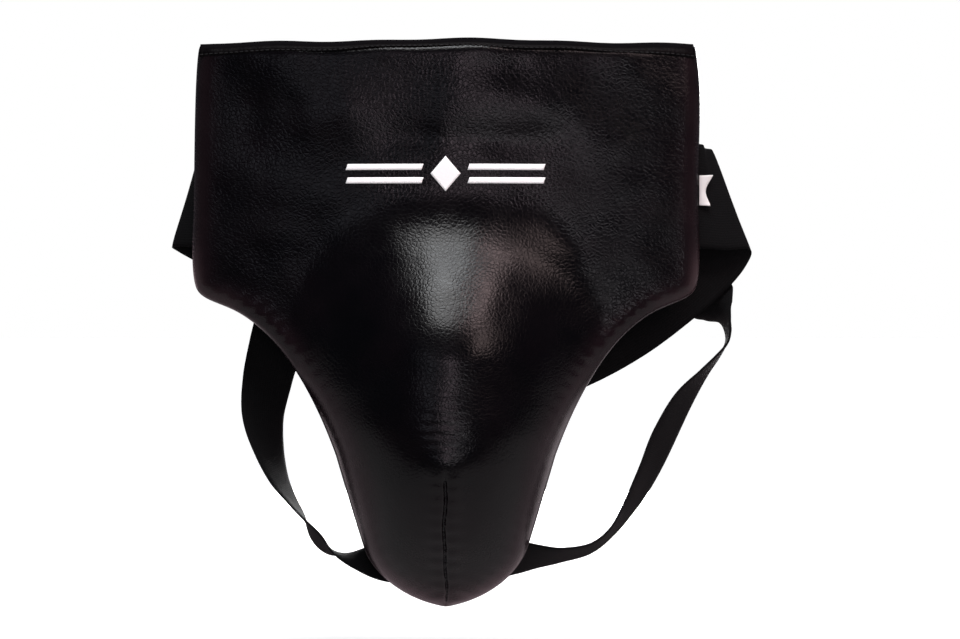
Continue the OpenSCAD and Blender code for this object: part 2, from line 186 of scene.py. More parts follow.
# ---------------------------------------- shape of the panel
# Right half of the outline, (x, z), as cubic curves from the top corner to the tip: upper side,
# hip, hip corner, leg curve, nose side, nose tip
OUTLINE = [
    [(142, 84), (145.5, 60), (144, 30), (144.5, -10)],
    [(144.5, -10), (145.5, -30), (146, -46), (143, -54)],
    [(143, -54), (140, -61), (130, -62), (119.5, -67.5)],
    [(119.5, -67.5), (91.5, -82.5), (73.5, -119), (62.5, -149)],
    [(62.5, -149), (58.5, -162.5), (52, -185), (46.5, -202.5)],
    [(46.5, -202.5), (41.5, -217.5), (23.5, -233), (0, -236.5)],
]
TOP_Z = 84.0
TIP_Z = -236.5

PAD = 14.0                  # thickness of the padding
EDGE_R = 9.0                # radius of the rolled edge
EDGE_SHARE = 0.42           # share of the padding left at the very edge
TOP_TAPER = 7.0             # height over which the padding thins to the top edge
TOP_SHARE = 0.4             # share of it left there
WRAP = 16.0                 # how far the sides curve back round the hips
WRAP_HALF_W = 143.5
TUCK = 16.0                 # how far the nose curves back under the wearer
TUCK_Z = -145.0             # height where that starts
TUCK_H = 90.0
CROWN = 2.0                 # the top edge is higher in the middle

CUP_RISE = 46.0             # how far the cup stands out of the padding
CUP_TOP_Z = -2.0
CUP_WIDE_Z = -58.0
CUP_LOW_Z = -166.0
CUP_HALF_W = 60.0
CUP_LOW_HALF_W = 24.0


def smooth(t):
    t = np.clip(t, 0, 1)
    return t * t * (3 - 2 * t)


def mix(a, b, t):
    return a + (b - a) * t


def soft_min(a, b, r):
    """The smaller of two, with a gentle change-over r wide."""
    h = np.maximum(0, 1 - np.abs(a - b) / r)
    return np.minimum(a, b) - h * h * r / 4


def bump(t, width):
    """1 where t is 0, falling off smoothly on both sides."""
    return np.exp(-(t / width) ** 2)


def hill(x, z, middle, size):
    return bump(x - middle[0], size[0]) * bump(z - middle[1], size[1])


def wave(t, pitch):
    return np.sin(t * 2 * np.pi / pitch)


def ripple(x, z, scale, seed):
    """Smooth unevenness over the panel, between -1 and 1, with bumps about scale wide."""
    values = [noise.noise((a / scale, b / scale, seed)) for a, b in zip(x.ravel(), z.ravel())]
    return np.array(values).reshape(x.shape)


def run_along(points):
    """Distance from the first point to each point of a line."""
    return np.concatenate([[0], np.cumsum(np.linalg.norm(np.diff(points, axis=0), axis=1))])


def outline_points(step):
    """The outline's right half, from the top corner to the tip, at even distances."""
    points = []
    t = np.linspace(0, 1, 200)[:, None]
    for curve in OUTLINE:
        p = np.array(curve, float)
        points.append(
            (1 - t) ** 3 * p[0] + 3 * t * (1 - t) ** 2 * p[1] + 3 * t * t * (1 - t) * p[2] + t ** 3 * p[3]
        )
    points = np.vstack(points)
    moved = np.linalg.norm(np.diff(points, axis=0), axis=1) > 1e-6
    points = points[np.concatenate([[True], moved])]
    run = run_along(points)
    at = np.linspace(0, run[-1], int(run[-1] / step) + 1)
    return np.stack([np.interp(at, run, points[:, 0]), np.interp(at, run, points[:, 1])], 1)


DENSE = outline_points(0.5)


def half_width(z):
    return np.interp(-z, -DENSE[:, 1], DENSE[:, 0])


def edge_distance(x, z):
    """Distance to the outline, taken in blocks of points to save memory."""
    block = 100
    places = np.stack([np.abs(x).ravel(), z.ravel()], 1)
    best = np.full(len(places), np.inf)
    for k in range(0, len(DENSE), block):
        part = DENSE[k:k + block]
        best = np.minimum(best, np.linalg.norm(places[:, None, :] - part[None], axis=2).min(1))
    return best.reshape(x.shape)


def back_plane(x, z):
    """Y of the curved plane that the layers are stacked on."""
    return WRAP * (x / WRAP_HALF_W) ** 2 + TUCK * np.maximum(0, (TUCK_Z - z) / TUCK_H) ** 2


def cup_half(z, w):
    """Half the width of the hard cup at a height where the panel's half width is w."""
    up = (z - CUP_WIDE_Z) / (CUP_TOP_Z + 4 - CUP_WIDE_Z)
    down = (CUP_WIDE_Z - z) / (CUP_WIDE_Z - CUP_LOW_Z)
    over = CUP_LOW_HALF_W + (z - CUP_TOP_Z) * 0.5
    upper = np.maximum(CUP_LOW_HALF_W, CUP_HALF_W * np.sqrt(np.maximum(0, 1 - up ** 2)))
    lower = mix(CUP_HALF_W, CUP_LOW_HALF_W, smooth(down))
    half = np.where(z > CUP_TOP_Z, over, np.where(z > CUP_WIDE_Z, upper, lower))
    return np.minimum(half, 0.62 * w)


def dome(x, z, w):
    """How far the cup's dome stands in front of the padding."""
    rise = 0.86 * smooth((4 - z) / 100) + 0.14 * smooth((-60 - z) / 95)
    fall = 1 - np.clip((-142 - z) / 96, 0, 1) ** 2
    reach = soft_min(mix(64, 90, smooth((10 - z) / 80)), w * 0.985, 14)
    power = mix(2, 0.8, smooth((-50 - z) / 90))
    t = np.minimum(1, np.abs(x) / np.maximum(reach, 1e-3))
    return CUP_RISE * rise * fall * (1 - t * t) ** power


def hollow(x, z, w):
    """How far the lining is let into the back, inside the cup."""
    rise = 0.86 * smooth((-8 - z) / 88) + 0.14 * smooth((-70 - z) / 90)
    fall = 1 - np.clip((-88 - z) / (-88 - CUP_LOW_Z), 0, 1) ** 4
    t = np.minimum(1, np.abs(x) / np.maximum(cup_half(z, w), 1e-3))
    return CUP_RISE * rise * fall * (1 - t * t) ** 1.2


def rolled(e, r):
    """Profile of a round edge: 0 at the edge and 1 from r inwards."""
    return np.sqrt(1 - (1 - np.clip(e / r, 0, 1)) ** 2)


def thickness(x, z, e):
    """Thickness of the padding where the edge is e away."""
    side = mix(EDGE_SHARE, 1, rolled(e, EDGE_R))
    top = mix(TOP_SHARE, 1, rolled(TOP_Z - z, TOP_TAPER))
    return PAD * side * top


def dart_x(z):
    """The dart's stitched line wanders a little from the middle."""
    return 0.5 * np.sin(z / 9.5) + 0.3 * np.sin(z / 4.1)


def relief(x, z, e):
    """Soft shaping of the leather over the padding: how far it stands out."""
    side = np.abs(x)
    # unevenness, a swell and a dip above the cup, and a slanting fold on its right
    r = mix(0.7, 2.0, smooth((z + 5) / 40)) * ripple(x, z, 46, 3.1) + 0.35 * ripple(x, z, 17, 8.4)
    r += 1.3 * hill(x, z, (16, 50), (46, 15)) - 1.0 * hill(x, z, (18, 29), (60, 9))
    r += 0.6 * bump((x - 66) * 0.5 + (z + 36) * 0.85, 9) * bump(side - 66, 30) * (x > 0)
    r *= smooth(e / 16)
    # small folds across the ridge above the dart, and the knob at its top
    folds = np.sin(z * 2 * np.pi / 5.6 + 0.05 * x + 3.0 * ripple(x, z, 14, 5))
    r += 0.15 * hill(x, z, (-2, -134), (14, 15)) * folds
    r += 1.3 * hill(x, z, (0, -154), (11, 8))
    # the dart: a narrow groove, plump sides, and puckers drawn in by the thread
    in_dart = smooth((-154 - z) / 10)
    off = x - dart_x(z)
    r += in_dart * (0.9 * bump(off - 5, 4) + 0.7 * bump(off + 5, 4) - 1.7 * bump(off, 1.0))
    r += in_dart * 0.32 * np.sin(z * 2 * np.pi / 7.3 + np.sign(x) * 0.9) * bump(side - 3.5, 6)
    # puckers where the cover is drawn round the edge
    puckers = np.sin((z * 1.15 + side * 0.8) * 2 * np.pi / 11 + 2 * ripple(x, z, 30, 1.7))
    r += 0.28 * bump(e - 7, 5) * puckers * smooth((-30 - z) / 40)
    return r


def face_y(x, z, w, e):
    """Y of the leather's face. w is the half width there, and e the distance to the edge."""
    padded = back_plane(x, z) - thickness(x, z, e) - dome(x, z, w)
    return padded - relief(x, z, e) * smooth(e / 3 + 0.1)


def front_surface(x, z):
    return face_y(x, z, half_width(z), edge_distance(x, z))


def top_wave(x, z):
    """How far the panel is lifted towards its top edge: a crown and small waves."""
    share = np.maximum(0, z - 20) / 65
    crown = CROWN * (1 - (x / half_width(z)) ** 2) * share
    return crown + share * (0.6 * np.sin(x / 21 + 0.9) + 0.35 * np.sin(x / 8.7))


def skewed(verts):
    """Near the top both side edges sit a little to the right: the right one out, the left one in."""
    v = np.asarray(verts, float).copy()
    x, z = v[..., 0], v[..., 2]
    right = 1.4 * smooth((x - 80) / 60) * bump(z - 60, 34)
    left = 0.7 * smooth((-x - 80) / 60) * bump(z - 60, 40)
    v[..., 0] = x + right + left
    return v


# ---------------------------------------- mesh helpers
def add_mesh(name, verts_mm, faces, attributes=None):
    mesh = bpy.data.meshes.new(name)
    mesh.from_pydata([tuple(v) for v in np.asarray(verts_mm, float) * MM], [], [tuple(f) for f in faces])
    mesh.polygons.foreach_set("use_smooth", [True] * len(mesh.polygons))
    for key, values in (attributes or {}).items():
        attr = mesh.attributes.new(key, "FLOAT", "POINT")
        attr.data.foreach_set("value", np.asarray(values, np.float32))
    mesh.validate()
    mesh.update()
    obj = bpy.data.objects.new(name, mesh)
    bpy.context.scene.collection.objects.link(obj)
    return obj


def grid_faces(rows, cols, start=0, flip=False):
    faces = []
    for r in range(rows - 1):
        for c in range(cols - 1):
            a = start + r * cols + c
            quad = (a, a + cols, a + cols + 1, a + 1)
            faces.append(quad[::-1] if flip else quad)
    return faces


def closed_slab(front, back):
    """Vertices and faces of the solid between two equal grids of points."""
    rows, cols = front.shape[:2]
    n = rows * cols
    verts = np.vstack([front.reshape(-1, 3), back.reshape(-1, 3)])
    faces = grid_faces(rows, cols) + grid_faces(rows, cols, n, True)
    for r in range(rows - 1):
        a, b = r * cols, (r + 1) * cols
        faces.append((a, a + n, b + n, b))
        a, b = a + cols - 1, b + cols - 1
        faces.append((a, b, b + n, a + n))
    for c in range(cols - 1):
        faces.append((c, c + 1, c + 1 + n, c + n))
        a = (rows - 1) * cols + c
        faces.append((a, a + n, a + 1 + n, a + 1))
    return verts, faces


def joined(parts):
    """One list of vertices and one of faces from those of many parts."""
    verts, faces = [], []
    for part_verts, part_faces in parts:
        faces += [tuple(i + len(verts) for i in face) for face in part_faces]
        verts += list(part_verts)
    return np.array(verts), faces


def both_sides(values):
    """A point attribute of a slab whose two faces share the same values."""
    return np.concatenate([values.ravel(), values.ravel()])


def catmull(points, steps):
    """Smooth curve through rows of points, shape (n, ...), with steps points from row to row."""
    p = np.asarray(points, float)
    last = len(p) - 1
    out = []
    for k in range(last):
        a, b, c, d = p[max(0, k - 1)], p[k], p[k + 1], p[min(last, k + 2)]
        for step in range(steps):
            t = step / steps
            out.append(0.5 * (2 * b + (c - a) * t + (2 * a - 5 * b + 4 * c - d) * t * t
                              + (3 * b - a - 3 * c + d) * t ** 3))
    out.append(p[-1])
    return np.array(out)


# ---------------------------------------- materials
class Nodes:
    """Short-hand for building a node material. A value may be a number or a socket."""

    def __init__(self, name):
        self.mat = bpy.data.materials.new(name)
        self.nt = node_tree(self.mat)
        self.bsdf = self.new("ShaderNodeBsdfPrincipled")
        self.link(self.bsdf.outputs[0], self.new("ShaderNodeOutputMaterial").inputs[0])
        self.coord = self.new("ShaderNodeTexCoord").outputs["Object"]

    def new(self, kind, **props):
        node = self.nt.nodes.new(kind)
        for key, value in props.items():
            setattr(node, key, value)
        return node

    def link(self, a, b):
        self.nt.links.new(a, b)

    def put(self, socket, value):
        if hasattr(value, "is_output"):
            self.link(value, socket)
        else:
            socket.default_value = value

    def math(self, op, a, b=0.0, c=None, clamp=False):
        n = self.new("ShaderNodeMath", operation=op, use_clamp=clamp)
        self.put(n.inputs[0], a)
        self.put(n.inputs[1], b)
        if c is not None:
            self.put(n.inputs[2], c)
        return n.outputs[0]

    def attr(self, name):
        return self.new("ShaderNodeAttribute", attribute_name=name).outputs["Fac"]

    def axis(self, letter):
        n = self.new("ShaderNodeSeparateXYZ")
        self.link(self.coord, n.inputs[0])
        return n.outputs[letter]

    def ribs(self, value, pitch):
        """A sine between -1 and 1 that turns once in each pitch."""
        return self.math("SINE", self.math("MULTIPLY", value, 2 * math.pi / pitch))

    def noise(self, scale, detail, rough):
        n = self.new("ShaderNodeTexNoise")
        self.link(self.coord, n.inputs["Vector"])
        n.inputs["Scale"].default_value = scale
        n.inputs["Detail"].default_value = detail
        n.inputs["Roughness"].default_value = rough
        return n.outputs["Fac"]

    def voronoi(self, scale, feature="F1", vector=None):
        n = self.new("ShaderNodeTexVoronoi", feature=feature)
        self.link(vector if vector is not None else self.coord, n.inputs["Vector"])
        n.inputs["Scale"].default_value = scale
        return n.outputs["Distance"]

    def ramp(self, fac, low, high):
        """Straight line through two points, (value in, value out), and flat beyond them."""
        n = self.new("ShaderNodeMapRange")
        self.link(fac, n.inputs["Value"])
        n.inputs["From Min"].default_value = low[0]
        n.inputs["From Max"].default_value = high[0]
        n.inputs["To Min"].default_value = low[1]
        n.inputs["To Max"].default_value = high[1]
        return n.outputs["Result"]

    def colour(self, fac, below, above):
        """From one colour at 0 to another at 1."""
        n = self.new("ShaderNodeMix", data_type="RGBA")
        self.put(n.inputs["Factor"], fac)
        sockets = [s for s in n.inputs if s.type == "RGBA"]
        for socket, value in zip(sockets, (below, above)):
            self.put(socket, value if hasattr(value, "is_output") else (*value, 1))
        return [s for s in n.outputs if s.type == "RGBA"][0]

    def bump(self, height, strength, distance, normal=None):
        n = self.new("ShaderNodeBump")
        self.link(height, n.inputs["Height"])
        n.inputs["Strength"].default_value = strength
        n.inputs["Distance"].default_value = distance
        if normal is not None:
            self.link(normal, n.inputs["Normal"])
        return n.outputs["Normal"]

    def finish(self, colour, rough, normal, **fixed):
        self.put(self.bsdf.inputs["Base Color"], colour)
        self.put(self.bsdf.inputs["Roughness"], rough)
        self.put(self.bsdf.inputs["Normal"], normal)
        for key, value in fixed.items():
            self.bsdf.inputs[key.replace("_", " ")].default_value = value
        return self.mat


GRAIN = 430.0               # pebbles of the leather's grain in a metre
RUBBED_AND_HIGHLIGHT = (0.055, 0.034, 0.038)      # leather rubbed bare of its finish, mixed with a painted highlight on the hip corners and the nose tip


def leather(name, base, worn_and_rim_lit, rough, depth=0.4, level=0.5):
    """Pebbled leather, paler where its two attributes say: abrasion with painted rim light, and rubbed
    spots with a painted highlight.
    """
    m = Nodes(name)
    # coordinates shifted a little, so that the grain's cells aren't straight-sided
    warp = m.new("ShaderNodeTexNoise")
    m.link(m.coord, warp.inputs["Vector"])
    warp.inputs["Scale"].default_value = 240.0
    warp.inputs["Detail"].default_value = 1.0
    shift = m.new("ShaderNodeVectorMath", operation="MULTIPLY_ADD")
    m.link(warp.outputs["Color"], shift.inputs[0])
    shift.inputs[1].default_value = (0.0012, 0.0012, 0.0012)
    m.link(m.coord, shift.inputs[2])
    place = shift.outputs[0]
    # grain over broad soft creases
    pebble = m.ramp(m.voronoi(GRAIN, "DISTANCE_TO_EDGE", place), (0.0, 0.0), (0.25, 1.0))
    small = m.ramp(m.voronoi(GRAIN * 2.1, "DISTANCE_TO_EDGE", place), (0.0, 0.0), (0.3, 1.0))
    fine = m.noise(GRAIN * 4.0, 3.0, 0.6)
    height = m.math("MULTIPLY_ADD", small, 0.25, m.math("MULTIPLY_ADD", fine, 0.1, pebble))
    broad = m.noise(42.0, 4.0, 0.55)
    normal = m.bump(height, depth, 0.00022, m.bump(broad, 0.16, 0.0012))
    # colour: uneven at random, paler on the ridges with abrasion and painted rim light, and paler at the
    # rim with rubbed leather and a painted highlight
    patch = m.ramp(m.noise(24.0, 4.0, 0.6), (0.35, 0.0), (0.75, 1.0))
    wear_and_rim_light = m.math("MULTIPLY", m.attr("wear_and_rim_light"), m.ramp(broad, (0.3, 0.6), (0.7, 1.0)))
    shade = m.math("MULTIPLY_ADD", patch, 0.2, wear_and_rim_light, clamp=True)
    rub_and_highlight = m.math("MULTIPLY", m.attr("rub_and_highlight"), m.ramp(broad, (0.3, 0.7), (0.7, 1.0)), clamp=True)
    colour = m.colour(rub_and_highlight, m.colour(shade, base, worn_and_rim_lit), RUBBED_AND_HIGHLIGHT)
    # roughness: uneven, and lower on top of the pebbles
    rough = m.math("MULTIPLY_ADD", m.ramp(broad, (0.3, -1.0), (0.7, 1.0)), 0.05, rough)
    rough = m.math("MULTIPLY_ADD", pebble, -0.06, rough)
    return m.finish(colour, rough, normal, Specular_IOR_Level=level)


RIB_PITCH = 1.45            # millimetres, as the attributes across and along are
WEFT_PITCH = 1.1


def elastic(name, base, light):
    """Ribbed woven elastic, laid out by the attributes across and along."""
    m = Nodes(name)
    rib = m.ribs(m.attr("across"), RIB_PITCH)
    offset = m.math("MULTIPLY", rib, 1.3)
    weft = m.math("SINE", m.math("MULTIPLY_ADD", m.attr("along"), 2 * math.pi / WEFT_PITCH, offset))
    weave = m.math("MULTIPLY_ADD", weft, 0.45, m.math("MULTIPLY", rib, 0.55))
    height = m.math("MULTIPLY_ADD", weave, 0.5, 0.5)
    fuzzy = m.math("MULTIPLY_ADD", m.noise(2600.0, 2.0, 0.6), 0.4, height)
    normal = m.bump(fuzzy, 0.5, 0.00025)
    # Half the tone follows the weave's height: the raised threads are painted paler and the dips darker,
    # painted light and shade; the other half varies at random.
    tone = m.math("MULTIPLY_ADD", m.noise(70.0, 4.0, 0.6), 0.5, m.math("MULTIPLY", height, 0.5), clamp=True)
    rough = m.ramp(height, (0.0, 0.95), (1.0, 0.8))
    return m.finish(m.colour(tone, base, light), rough, normal,
                    Specular_IOR_Level=0.10, Sheen_Weight=0.012, Sheen_Roughness=0.5)


def woven(name, base, light, pitch):
    """Plain weave with its threads along X and Z."""
    m = Nodes(name)
    weave = m.math("MULTIPLY", m.ribs(m.axis("X"), pitch), m.ribs(m.axis("Z"), pitch))
    height = m.math("MULTIPLY_ADD", weave, 0.5, 0.5)
    fuzzy = m.math("MULTIPLY_ADD", m.noise(2200.0, 2.0, 0.6), 0.5, height)
    creases = m.bump(m.noise(60.0, 4.0, 0.6), 0.25, 0.001)
    normal = m.bump(fuzzy, 0.4, pitch * 0.25, creases)
    # Part of the tone follows the weave's height: the raised threads are painted paler and the dips darker,
    # painted light and shade; the rest varies at random.
    tone = m.math("MULTIPLY_ADD", m.noise(30.0, 4.0, 0.6), 0.6, m.math("MULTIPLY", height, 0.4), clamp=True)
    rough = m.ramp(height, (0.0, 0.85), (1.0, 0.73))
    return m.finish(m.colour(tone, base, light), rough, normal,
                    Specular_IOR_Level=0.3, Sheen_Weight=0.15, Sheen_Roughness=0.45)


def thread(name, base, light):
    m = Nodes(name)
    twist = m.noise(2400.0, 2.0, 0.5)
    rough = m.ramp(twist, (0.3, 0.6), (0.7, 0.8))
    return m.finish(m.colour(twist, base, light), rough, m.bump(twist, 0.5, 0.0002),
                    Specular_IOR_Level=0.35)


def moulded(name, base, light):
    """Moulded plastic with faint flow marks."""
    m = Nodes(name)
    grain = m.noise(900.0, 3.0, 0.5)
    flow = m.noise(24.0, 3.0, 0.5)
    rough = m.ramp(grain, (0.3, 0.42), (0.7, 0.52))
    return m.finish(m.colour(flow, base, light), rough, m.bump(grain, 0.15, 0.0001))


def foam(name, base, light):
    m = Nodes(name)
    cells = m.voronoi(1500.0)
    # Darker in the pits of the cells: painted shade.
    tone = m.ramp(cells, (0.0, 0.0), (0.6, 1.0))
    rough = m.ramp(cells, (0, 0.9), (1, 0.98))
    return m.finish(m.colour(tone, base, light), rough, m.bump(cells, 0.6, 0.0003),
                    Specular_IOR_Level=0.2)


def satin(name, base, light):
    """Ribbon with fine level threads."""
    m = Nodes(name)
    height = m.math("MULTIPLY_ADD", m.ribs(m.axis("Z"), 0.0007), 0.5, 0.5)
    normal = m.bump(height, 0.2, 0.0001, m.bump(m.noise(260.0, 3.0, 0.5), 0.3, 0.0004))
    tone = m.noise(120.0, 3.0, 0.5)
    rough = m.ramp(height, (0, 0.42), (1, 0.5))
    return m.finish(m.colour(tone, base, light), rough, normal,
                    Sheen_Weight=0.2, Sheen_Roughness=0.3)


def ink(name, base, light):
    """Print that shows the grain under it and small bare specks, and glows faintly: painted light that
    keeps it white.
    """
    m = Nodes(name)
    cells = m.ramp(m.voronoi(820.0, "DISTANCE_TO_EDGE"), (0.0, 0.0), (0.2, 1.0))
    speck = m.ramp(m.noise(1500.0, 3.0, 0.6), (0.32, 0.0), (0.42, 1.0))
    rough = m.ramp(cells, (0, 0.6), (1, 0.5))
    # The emission is painted light: it keeps the print white under dim lamps.
    return m.finish(m.colour(speck, base, light), rough, m.bump(cells, 0.15, 0.0001),
                    Emission_Strength=0.18)


# Its second colour is the paler one of the edges: abrasion and painted rim light.
COVER = leather("cover_leather", (0.0007, 0.0006, 0.0011), (0.010, 0.0052, 0.0070), 0.25,
                depth=0.22, level=0.17)
FACING = leather("facing_leather", (0.0006, 0.0005, 0.0008), (0.003, 0.0018, 0.0024), 0.55, level=0.06)
ELASTIC = elastic("elastic", (0.0018, 0.0018, 0.0022), (0.0055, 0.0055, 0.0060))
LINING = woven("lining_fabric", (0.022, 0.022, 0.025), (0.05, 0.05, 0.055), 0.0011)
LINER = woven("liner_fabric", (0.03, 0.03, 0.034), (0.06, 0.06, 0.064), 0.0014)
THREAD = thread("black_thread", (0.0025, 0.0025, 0.003), (0.009, 0.009, 0.010))
FOAM = foam("foam", (0.5, 0.47, 0.4), (0.66, 0.63, 0.55))
PLASTIC = moulded("cup_plastic", (0.76, 0.74, 0.69), (0.84, 0.82, 0.77))
INK = ink("white_print", (0.80, 0.80, 0.81), (0.95, 0.95, 0.95))
SATIN = satin("white_satin", (0.78, 0.78, 0.77), (0.9, 0.9, 0.89))


def dress(obj, material, body="guard", nodes=()):
    obj.data.materials.clear()
    obj.data.materials.append(material)
    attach(obj, body)
    if nodes:
        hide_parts(*nodes)


# ---------------------------------------- panel grid
ROW_STEP = 1.5    # between two rows, along the outline
INNER_COLS = 84    # from the middle to the rolled edge
ROLL_COLS = 8                       # round the rolled edge

row_w, row_z = outline_points(ROW_STEP)[:-1].T
N_ROWS = len(row_w)
N_COLS = 2 * (INNER_COLS + ROLL_COLS) + 1


def column_x(w):
    """Places of the columns across a row: even in the middle, closer round the rolled edge."""
    roll = min(EDGE_R, 0.3 * w)
    inner = np.linspace(0, w - roll, INNER_COLS + 1)
    angle = np.linspace(0, math.pi / 2, ROLL_COLS + 1)[1:]
    outer = w - roll * (1 - np.sin(angle))
    half = np.concatenate([inner, outer])
    return np.concatenate([-half[:0:-1], half])


# At each point of the grid: its place, the half width there, the distance to the edge, the face
# of the leather, and how far the point is lifted
GX = np.array([column_x(w) for w in row_w])
GZ = np.repeat(row_z[:, None], N_COLS, 1)
GW = np.repeat(row_w[:, None], N_COLS, 1)
GE = edge_distance(GX, GZ)
FRONT_Y = face_y(GX, GZ, GW, GE)
LIFT = top_wave(GX, GZ)


def panel_border():
    """The edge from the left top corner round the nose to the right one: its points (x, z), the
    directions inwards, and how far each point is lifted."""
    right = np.stack([row_w, row_z], 1)
    points = np.vstack([right * [-1, 1], [[0, TIP_Z]], right[::-1]])
    along = np.gradient(points, axis=0)
    inward = np.stack([-along[:, 1], along[:, 0]], 1)
    inward /= np.linalg.norm(inward, axis=1)[:, None]
    lift = np.concatenate([LIFT[:, 0], [0], LIFT[::-1, -1]])
    return points, inward, lift


# ---------------------------------------- front cover
# Profile of the hem: distance in from the edge, and share of the depth at the edge
HEM = [(0.3, 0.68), (1.1, 0.38), (2.3, 0.16), (3.6, 0.03), (5.0, -0.1), (6.0, -0.12), (6.3, 0.02)]


def cover_marks(hem_points):
    """Where the leather is paler, from 0 to 1: along the edges for abrasion and painted rim light, at the
    hip corners and the nose tip for rubbing and a painted highlight; on the grid, then on the hem.
    """
    side = np.abs(GX)
    # Paler along the edges, more so low down, and down the middle of the nose: abrasion and painted rim
    # light.
    wear_and_rim_light = bump(GE - 5, 8) * mix(0.55, 1.0, smooth((-20 - GZ) / 60))
    wear_and_rim_light = wear_and_rim_light + 0.35 * bump(GX, 30) * smooth((-150 - GZ) / 50)
    # Paler at the hip corners, at the nose tip and a little along the sides: rubbed leather and a painted
    # highlight.
    rub_and_highlight = 0.8 * bump(GE - 1.5, 3.5) * bump(GZ + 48, 15) * smooth((side - 112) / 12)
    rub_and_highlight = rub_and_highlight + 0.45 * smooth((-208 - GZ) / 20) * bump(GE - 2, 9)
    rub_and_highlight = rub_and_highlight + 0.12 * bump(GE - 3, 5) * smooth((side - 100) / 30)
    wear_and_rim_light = np.concatenate([wear_and_rim_light.ravel(), np.full(hem_points, 0.5)])
    rub_and_highlight = np.concatenate([rub_and_highlight.ravel(), np.full(hem_points, 0.05)])
    return {"wear_and_rim_light": np.clip(wear_and_rim_light, 0, 1), "rub_and_highlight": np.clip(rub_and_highlight, 0, 1)}


def build_cover():
    """One skin: the front, closed at the tip, and a hem turned round the edge to the back."""
    edge_depth = PAD * EDGE_SHARE
    tip = N_ROWS * N_COLS
    verts = [
        np.stack([GX, FRONT_Y, GZ + LIFT], 2).reshape(-1, 3),
        np.array([[0, back_plane(0, TIP_Z) - edge_depth, TIP_Z]]),
    ]
    faces = grid_faces(N_ROWS, N_COLS)
    last_row = (N_ROWS - 1) * N_COLS
    for c in range(N_COLS - 1):
        faces.append((last_row + c, tip, last_row + c + 1))

    points, inward, lift = panel_border()
    run = run_along(points)
    depth = back_plane(GX, GZ) - FRONT_Y
    depth = np.concatenate([depth[:, 0], [edge_depth], depth[::-1, -1]])
    left = [r * N_COLS for r in range(N_ROWS)]
    right = [r * N_COLS + N_COLS - 1 for r in reversed(range(N_ROWS))]
    ring = left + [tip] + right
    count = tip + 1
    for inset, share in HEM:
        place = points + inward * inset
        pucker = 0.12 * wave(run, 8.5) * min(1, inset / 3)
        y = back_plane(place[:, 0], place[:, 1]) - depth * share + pucker
        verts.append(np.stack([place[:, 0], y, place[:, 1] + lift], 1))
        next_ring = list(range(count, count + len(place)))
        for k in range(len(place) - 1):
            faces.append((ring[k], next_ring[k], next_ring[k + 1], ring[k + 1]))
        ring = next_ring
        count += len(place)

    obj = add_mesh("front_cover_skin", skewed(np.vstack(verts)), faces, cover_marks(count - tip))
    dress(obj, COVER, nodes=("front_cover",))


build_cover()


# ---------------------------------------- layers behind the cover
def inset_grid(row_step, col_step, min_w, inset):
    """Rows of the grid, drawn in from the edge: their numbers, x, z, half width and lift."""
    rows = [r for r in range(0, N_ROWS, row_step) if row_w[r] > min_w]
    cols = list(range(0, N_COLS, col_step))
    if cols[-1] != N_COLS - 1:
        cols.append(N_COLS - 1)
    pick = np.ix_(rows, cols)
    w = GW[pick]
    return rows, GX[pick] * (w - inset) / w, GZ[pick], w, LIFT[pick]


def build_lining():
    _, x, z, w, lift = inset_grid(1, 1, 7.0, 2.4)
    soft = 0.5 * ripple(x, z, 18, 4.2) + 0.9 * ripple(x, z, 55, 9.9)
    soft *= smooth((w - np.abs(x)) / 12)
    y = back_plane(x, z) - hollow(x, z, w) - 0.25 + 0.25 * soft
    face = np.stack([x, y, z + lift], 2)
    under = face - [0, 0.8, 0]
    verts, faces = closed_slab(under, face)
    obj = add_mesh("back_lining_cloth", skewed(verts), faces)
    dress(obj, LINING, nodes=("back_lining",))


build_lining()

POCKET_DEPTH = 6.2          # how deep the hard cup and its liner are let into the foam


def inner_rows(z_high, z_low):
    """A coarse inset grid between two heights: x, z, half width and lift."""
    rows, x, z, w, lift = inset_grid(4, 3, 9.0, 4.0)
    pick = [k for k, r in enumerate(rows) if z_low <= row_z[r] <= z_high]
    return x[pick], z[pick], w[pick], lift[pick]


def inner_layer(name, x, z, lift, front_y, back_y, material, node):
    verts, faces = closed_slab(np.stack([x, front_y, z + lift], 2), np.stack([x, back_y, z + lift], 2))
    obj = add_mesh(name, skewed(verts), faces)
    dress(obj, material, nodes=(node,))
    return obj


def build_padding(name, z_high, z_low, node, pocket=False):
    x, z, w, lift = inner_rows(z_high, z_low)
    depth = np.full_like(x, 1.6)
    if pocket:
        depth[np.abs(x) < cup_half(z, w)] = POCKET_DEPTH
    back_y = back_plane(x, z) - hollow(x, z, w) - depth
    edge = np.maximum(w - np.abs(x), 0)
    front_y = back_plane(x, z) - thickness(x, z, edge) - dome(x, z, w) + 2.8
    front_y = np.minimum(front_y, back_y - 0.4)
    obj = inner_layer(name, x, z, lift, front_y, back_y, FOAM, node)


build_padding("belly_padding", 82, -19, "belly_foam")
build_padding("cup_padding", -20, -165, "cup_foam", pocket=True)
build_padding("nose_padding", -166, -228, "nose_foam")


def build_liner():
    x, z, w, lift = inner_rows(-26, -159)
    x = np.linspace(-1, 1, x.shape[1])[None] * (cup_half(z, w) - 1.0)
    back = back_plane(x, z) - hollow(x, z, w)
    inner_layer("cup_liner_pad", x, z, lift, back - 2.9, back - 1.3, LINER, "cup_liner")


build_liner()

# the hard cup is the CAD solid itself
shell = bpy.data.objects["cup_shell"]
shell.data.materials.clear()
shell.data.materials.append(PLASTIC)

# ---------------------------------------- facing strip on the top edge
STRIP_X = np.linspace(-141.3, 141.0, 160)
STRIP_REACH = 139.0         # beyond it the strip keeps the padding's depth there


